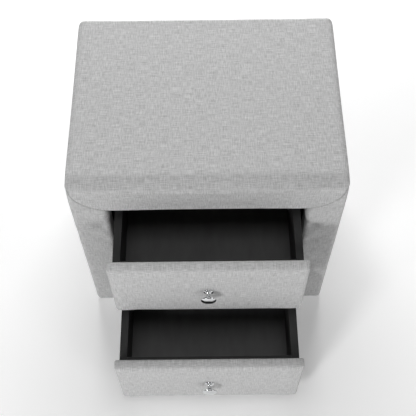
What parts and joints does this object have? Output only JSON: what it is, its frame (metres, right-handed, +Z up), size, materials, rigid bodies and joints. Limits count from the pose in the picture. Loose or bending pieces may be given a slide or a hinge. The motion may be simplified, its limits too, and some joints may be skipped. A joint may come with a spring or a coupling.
{
  "type": "upholstered nightstand",
  "caption": "Low fabric-covered nightstand with a padded waterfall top, rounded corners and drawers on roller runners, each with a round knob.",
  "frame": {"origin": "on the floor, under the middle of the cabinet without its drawers", "axes": "+Z up, the drawers open towards -Y, +X to the right seen from the front"},
  "size_m": [0.5, 0.6488, 0.485],
  "materials": {
    "upholstery": "light grey plain-weave linen-look fabric over foam",
    "board": "raw MDF",
    "pine": "sawn pine",
    "melamine_board": "charcoal melamine-faced board, matte",
    "back_panel": "black hardboard, matte",
    "dust_cover": "black non-woven fabric",
    "runner": "black epoxy-coated steel",
    "wheel": "white nylon",
    "knob": "polished chrome",
    "screw": "zinc-plated steel",
    "glide": "black plastic"
  },
  "bodies": {
    "cabinet": {"back_panel": "back_panel", "base_board": "board", "base_front_cover": "upholstery", "dust_cover": "dust_cover", "front_rail": "pine", "glide_back_left": "glide", "glide_back_right": "glide", "glide_front_left": "glide", "glide_front_right": "glide", "left_front_post": "pine", "left_inner_board": "melamine_board", "left_outer_board": "board", "left_rear_post": "pine", "left_side_cover": "upholstery", "lower_drawer_left_channel": "runner", "lower_drawer_right_channel": "runner", "right_front_post": "pine", "right_inner_board": "melamine_board", "right_outer_board": "board", "right_rear_post": "pine", "right_side_cover": "upholstery", "top_board": "board", "top_cover": "upholstery", "upper_drawer_left_channel": "runner", "upper_drawer_right_channel": "runner"},
    "upper_drawer": {"upper_drawer_box_back": "melamine_board", "upper_drawer_box_bottom": "melamine_board", "upper_drawer_box_front": "melamine_board", "upper_drawer_box_left": "melamine_board", "upper_drawer_box_right": "melamine_board", "upper_drawer_front_board": "melamine_board", "upper_drawer_front_cover": "upholstery", "upper_drawer_knob": "knob", "upper_drawer_knob_screw": "screw", "upper_drawer_left_angle": "runner", "upper_drawer_right_angle": "runner"},
    "upper_drawer_left_rear_wheel": {"upper_drawer_left_rear_wheel": "wheel"},
    "upper_drawer_left_front_wheel": {"upper_drawer_left_front_wheel": "wheel"},
    "upper_drawer_right_rear_wheel": {"upper_drawer_right_rear_wheel": "wheel"},
    "upper_drawer_right_front_wheel": {"upper_drawer_right_front_wheel": "wheel"},
    "lower_drawer": {"lower_drawer_box_back": "melamine_board", "lower_drawer_box_bottom": "melamine_board", "lower_drawer_box_front": "melamine_board", "lower_drawer_box_left": "melamine_board", "lower_drawer_box_right": "melamine_board", "lower_drawer_front_board": "melamine_board", "lower_drawer_front_cover": "upholstery", "lower_drawer_knob": "knob", "lower_drawer_knob_screw": "screw", "lower_drawer_left_angle": "runner", "lower_drawer_right_angle": "runner"},
    "lower_drawer_left_rear_wheel": {"lower_drawer_left_rear_wheel": "wheel"},
    "lower_drawer_left_front_wheel": {"lower_drawer_left_front_wheel": "wheel"},
    "lower_drawer_right_rear_wheel": {"lower_drawer_right_rear_wheel": "wheel"},
    "lower_drawer_right_front_wheel": {"lower_drawer_right_front_wheel": "wheel"}
  },
  "joints": [
    {"name": "upper_drawer_slide", "type": "slide", "parent": "cabinet", "child": "upper_drawer", "axis": [0, -1, 0], "range_m": [-0.12, 0.155]},
    {"name": "upper_drawer_left_rear_wheel_spin", "type": "hinge", "parent": "upper_drawer", "child": "upper_drawer_left_rear_wheel", "pos_m": [-0.1784, 0.03, 0.2784], "axis": [1, 0, 0], "range_deg": [-689.5, 890.1]},
    {"name": "upper_drawer_left_front_wheel_spin", "type": "hinge", "parent": "cabinet", "child": "upper_drawer_left_front_wheel", "pos_m": [-0.1806, -0.152, 0.2821], "axis": [1, 0, 0], "range_deg": [-689.5, 890.1]},
    {"name": "upper_drawer_right_rear_wheel_spin", "type": "hinge", "parent": "upper_drawer", "child": "upper_drawer_right_rear_wheel", "pos_m": [0.1784, 0.03, 0.2784], "axis": [1, 0, 0], "range_deg": [-689.5, 890.1]},
    {"name": "upper_drawer_right_front_wheel_spin", "type": "hinge", "parent": "cabinet", "child": "upper_drawer_right_front_wheel", "pos_m": [0.1806, -0.152, 0.2821], "axis": [1, 0, 0], "range_deg": [-689.5, 890.1]},
    {"name": "lower_drawer_slide", "type": "slide", "parent": "cabinet", "child": "lower_drawer", "axis": [0, -1, 0], "range_m": [-0.236, 0.039]},
    {"name": "lower_drawer_left_rear_wheel_spin", "type": "hinge", "parent": "lower_drawer", "child": "lower_drawer_left_rear_wheel", "pos_m": [-0.1784, -0.086, 0.0924], "axis": [1, 0, 0], "range_deg": [-1354.2, 225.5]},
    {"name": "lower_drawer_left_front_wheel_spin", "type": "hinge", "parent": "cabinet", "child": "lower_drawer_left_front_wheel", "pos_m": [-0.1806, -0.152, 0.0961], "axis": [1, 0, 0], "range_deg": [-1354.2, 225.5]},
    {"name": "lower_drawer_right_rear_wheel_spin", "type": "hinge", "parent": "lower_drawer", "child": "lower_drawer_right_rear_wheel", "pos_m": [0.1784, -0.086, 0.0924], "axis": [1, 0, 0], "range_deg": [-1354.2, 225.5]},
    {"name": "lower_drawer_right_front_wheel_spin", "type": "hinge", "parent": "cabinet", "child": "lower_drawer_right_front_wheel", "pos_m": [0.1806, -0.152, 0.0961], "axis": [1, 0, 0], "range_deg": [-1354.2, 225.5]}
  ],
  "couplings": [
    {"joint": "upper_drawer_left_rear_wheel_spin", "follows": "upper_drawer_slide", "rad_per_m": 100},
    {"joint": "upper_drawer_left_front_wheel_spin", "follows": "upper_drawer_slide", "rad_per_m": 100},
    {"joint": "upper_drawer_right_rear_wheel_spin", "follows": "upper_drawer_slide", "rad_per_m": 100},
    {"joint": "upper_drawer_right_front_wheel_spin", "follows": "upper_drawer_slide", "rad_per_m": 100},
    {"joint": "lower_drawer_left_rear_wheel_spin", "follows": "lower_drawer_slide", "rad_per_m": 100},
    {"joint": "lower_drawer_left_front_wheel_spin", "follows": "lower_drawer_slide", "rad_per_m": 100},
    {"joint": "lower_drawer_right_rear_wheel_spin", "follows": "lower_drawer_slide", "rad_per_m": 100},
    {"joint": "lower_drawer_right_front_wheel_spin", "follows": "lower_drawer_slide", "rad_per_m": 100}
  ]
}
